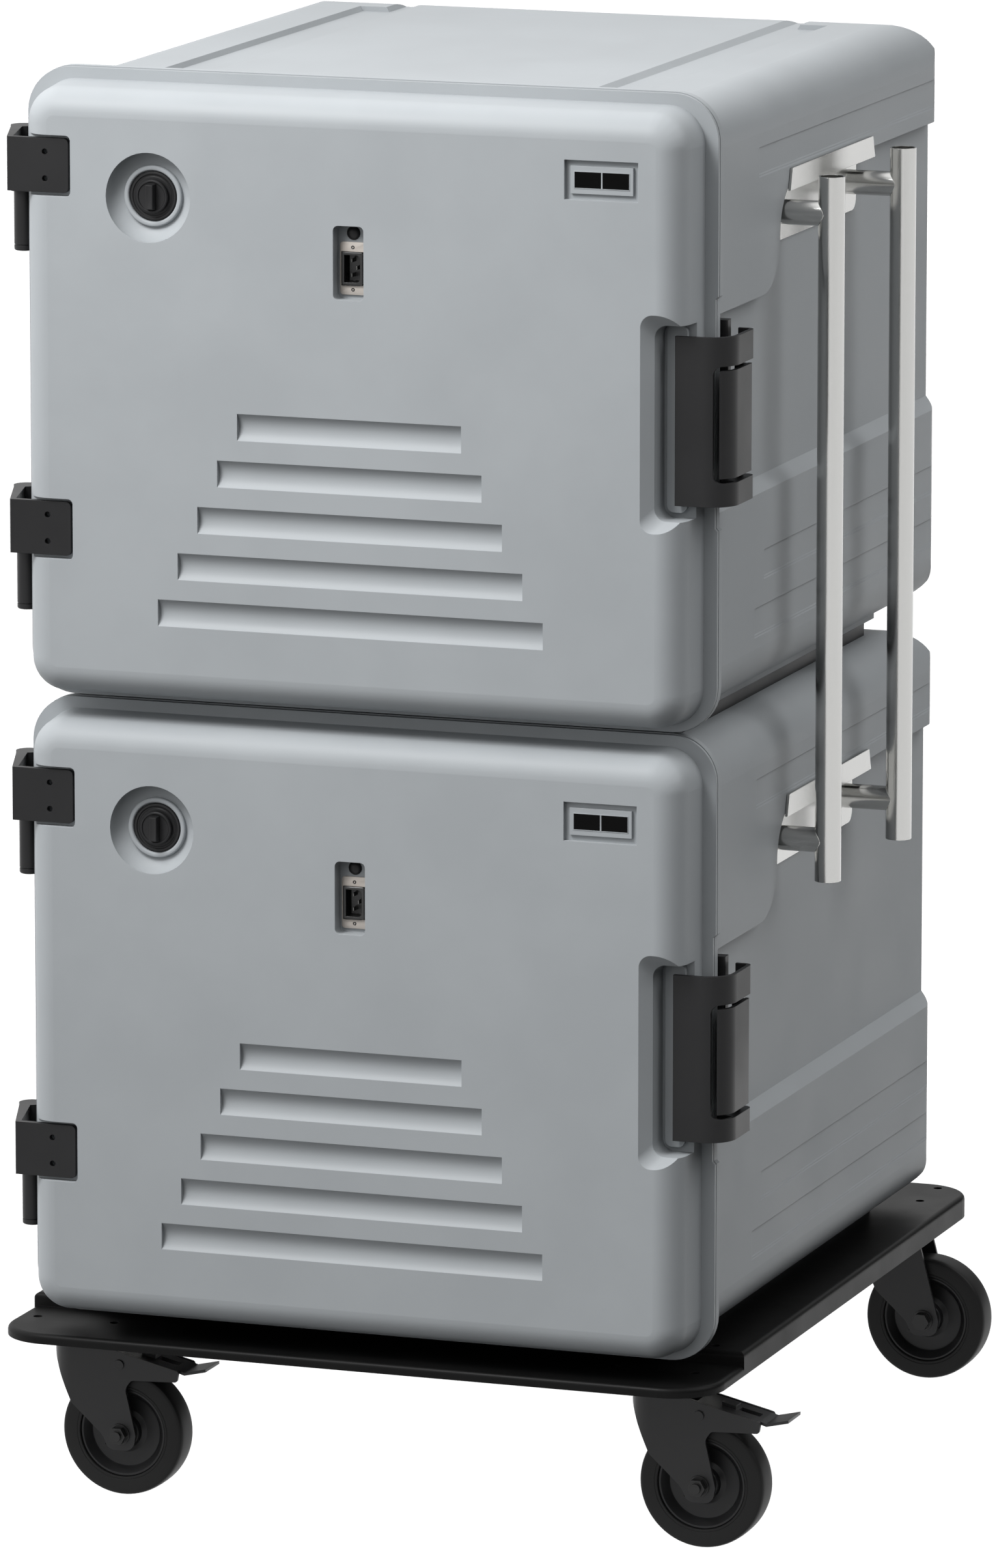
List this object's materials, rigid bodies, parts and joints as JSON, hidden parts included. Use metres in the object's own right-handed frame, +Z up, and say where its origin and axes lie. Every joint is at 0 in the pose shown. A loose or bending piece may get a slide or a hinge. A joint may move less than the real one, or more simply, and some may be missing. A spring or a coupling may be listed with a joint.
{
  "type": "enclosed meal tray cart",
  "caption": "Upright meal tray cart: stacked insulated boxes with hinged, latched doors on a low deck with swivel casters and a stainless push handle.",
  "frame": {"origin": "middle of the footprint, on the floor under the casters", "axes": "+Z up; -Y out of the doors, towards the person who opens them; +X to that person's right, the side of the latches and the push handle"},
  "size_m": [0.786, 0.859, 1.3975],
  "materials": {
    "body_plastic": "fine-grained, satin grey-blue polyethylene",
    "foam": "cream foam, hidden",
    "liner_plastic": "smooth light grey",
    "seal_rubber": "soft black",
    "black_plastic": "black, fine-grained",
    "black_deck": "black, grained",
    "display_window": "smoked, glossy",
    "inlet_plastic": "metal-faced plate with a black socket",
    "stainless": "satin stainless",
    "zinc_steel": "bright zinc",
    "black_steel": "black, semi-gloss",
    "tread": "dark grey elastic rubber",
    "wheel_plastic": "black polyamide"
  },
  "bodies": {
    "cart": {"lower_shell": "body_plastic", "lower_insulation": "foam", "lower_liner": "liner_plastic", "lower_hinge_brackets": "black_plastic", "lower_latch_keeper": "black_plastic", "upper_shell": "body_plastic", "upper_insulation": "foam", "upper_liner": "liner_plastic", "upper_hinge_brackets": "black_plastic", "upper_latch_keeper": "black_plastic", "deck": "black_deck", "stacking_spacers": "black_plastic", "caster_plates": "zinc_steel", "caster_bolts": "zinc_steel", "push_tubes": "stainless", "push_frame": "stainless"},
    "lower_door": {"lower_door_shell": "body_plastic", "lower_door_liner": "liner_plastic", "lower_door_seal": "seal_rubber", "lower_hinge_leaves": "black_plastic", "lower_hinge_pins": "black_plastic", "lower_latch_clasp": "black_plastic", "lower_vent_ring": "black_plastic", "lower_display": "display_window", "lower_power_inlet": "inlet_plastic", "lower_heater_unit": "stainless"},
    "lower_latch": {"lower_latch_lever": "black_plastic"},
    "lower_vent": {"lower_vent_knob": "black_plastic"},
    "lower_fan": {"lower_fan_wheel": "stainless"},
    "upper_door": {"upper_door_shell": "body_plastic", "upper_door_liner": "liner_plastic", "upper_door_seal": "seal_rubber", "upper_hinge_leaves": "black_plastic", "upper_hinge_pins": "black_plastic", "upper_latch_clasp": "black_plastic", "upper_vent_ring": "black_plastic", "upper_display": "display_window", "upper_power_inlet": "inlet_plastic", "upper_heater_unit": "stainless"},
    "upper_latch": {"upper_latch_lever": "black_plastic"},
    "upper_vent": {"upper_vent_knob": "black_plastic"},
    "upper_fan": {"upper_fan_wheel": "stainless"},
    "swivel_front_left": {"fork_front_left": "black_steel", "axle_front_left": "zinc_steel"},
    "wheel_front_left": {"tyre_front_left": "tread", "hub_front_left": "wheel_plastic"},
    "pedal_front_left": {"brake_pedal_front_left": "black_steel"},
    "swivel_front_right": {"fork_front_right": "black_steel", "axle_front_right": "zinc_steel"},
    "wheel_front_right": {"tyre_front_right": "tread", "hub_front_right": "wheel_plastic"},
    "pedal_front_right": {"brake_pedal_front_right": "black_steel"},
    "swivel_rear_left": {"fork_rear_left": "black_steel", "axle_rear_left": "zinc_steel"},
    "wheel_rear_left": {"tyre_rear_left": "tread", "hub_rear_left": "wheel_plastic"},
    "swivel_rear_right": {"fork_rear_right": "black_steel", "axle_rear_right": "zinc_steel"},
    "wheel_rear_right": {"tyre_rear_right": "tread", "hub_rear_right": "wheel_plastic"}
  },
  "joints": [
    {"name": "lower_door_hinge", "type": "hinge", "parent": "cart", "child": "lower_door", "pos_m": [-0.3795, -0.3425, 0.488], "axis": [0, 0, -1], "range_deg": [0, 200]},
    {"name": "lower_latch_pivot", "type": "hinge", "parent": "lower_door", "child": "lower_latch", "pos_m": [0.339, -0.3415, 0.487], "axis": [0, 0, 1], "range_deg": [0, 35]},
    {"name": "lower_vent_turn", "type": "hinge", "parent": "lower_door", "child": "lower_vent", "pos_m": [-0.2188, -0.4175, 0.6783], "axis": [0, 1, 0], "range_deg": [0, 90]},
    {"name": "lower_fan_spin", "type": "hinge", "parent": "lower_door", "child": "lower_fan", "pos_m": [-0.018, -0.3235, 0.498], "axis": [0, 1, 0], "continuous": true},
    {"name": "upper_door_hinge", "type": "hinge", "parent": "cart", "child": "upper_door", "pos_m": [-0.3795, -0.3425, 1.093], "axis": [0, 0, -1], "range_deg": [0, 200]},
    {"name": "upper_latch_pivot", "type": "hinge", "parent": "upper_door", "child": "upper_latch", "pos_m": [0.339, -0.3415, 1.092], "axis": [0, 0, 1], "range_deg": [0, 35]},
    {"name": "upper_vent_turn", "type": "hinge", "parent": "upper_door", "child": "upper_vent", "pos_m": [-0.2188, -0.4175, 1.2833], "axis": [0, 1, 0], "range_deg": [0, 90]},
    {"name": "upper_fan_spin", "type": "hinge", "parent": "upper_door", "child": "upper_fan", "pos_m": [-0.018, -0.3235, 1.103], "axis": [0, 1, 0], "continuous": true},
    {"name": "swivel_front_left", "type": "hinge", "parent": "cart", "child": "swivel_front_left", "pos_m": [-0.329, -0.3275, 0.153], "axis": [0, 0, 1], "continuous": true},
    {"name": "roll_front_left", "type": "hinge", "parent": "swivel_front_left", "child": "wheel_front_left", "pos_m": [-0.2875, -0.3275, 0.0625], "axis": [0, 1, 0], "continuous": true},
    {"name": "brake_front_left", "type": "hinge", "parent": "swivel_front_left", "child": "pedal_front_left", "pos_m": [-0.2875, -0.3275, 0.1318], "axis": [0, 1, 0], "range_deg": [0, 12]},
    {"name": "swivel_front_right", "type": "hinge", "parent": "cart", "child": "swivel_front_right", "pos_m": [0.2635, -0.3275, 0.153], "axis": [0, 0, 1], "continuous": true},
    {"name": "roll_front_right", "type": "hinge", "parent": "swivel_front_right", "child": "wheel_front_right", "pos_m": [0.305, -0.3275, 0.0625], "axis": [0, 1, 0], "continuous": true},
    {"name": "brake_front_right", "type": "hinge", "parent": "swivel_front_right", "child": "pedal_front_right", "pos_m": [0.305, -0.3275, 0.1318], "axis": [0, 1, 0], "range_deg": [0, 12]},
    {"name": "swivel_rear_left", "type": "hinge", "parent": "cart", "child": "swivel_rear_left", "pos_m": [-0.329, 0.3795, 0.153], "axis": [0, 0, 1], "continuous": true},
    {"name": "roll_rear_left", "type": "hinge", "parent": "swivel_rear_left", "child": "wheel_rear_left", "pos_m": [-0.2875, 0.3795, 0.0625], "axis": [0, 1, 0], "continuous": true},
    {"name": "swivel_rear_right", "type": "hinge", "parent": "cart", "child": "swivel_rear_right", "pos_m": [0.2635, 0.3795, 0.153], "axis": [0, 0, 1], "continuous": true},
    {"name": "roll_rear_right", "type": "hinge", "parent": "swivel_rear_right", "child": "wheel_rear_right", "pos_m": [0.305, 0.3795, 0.0625], "axis": [0, 1, 0], "continuous": true}
  ]
}
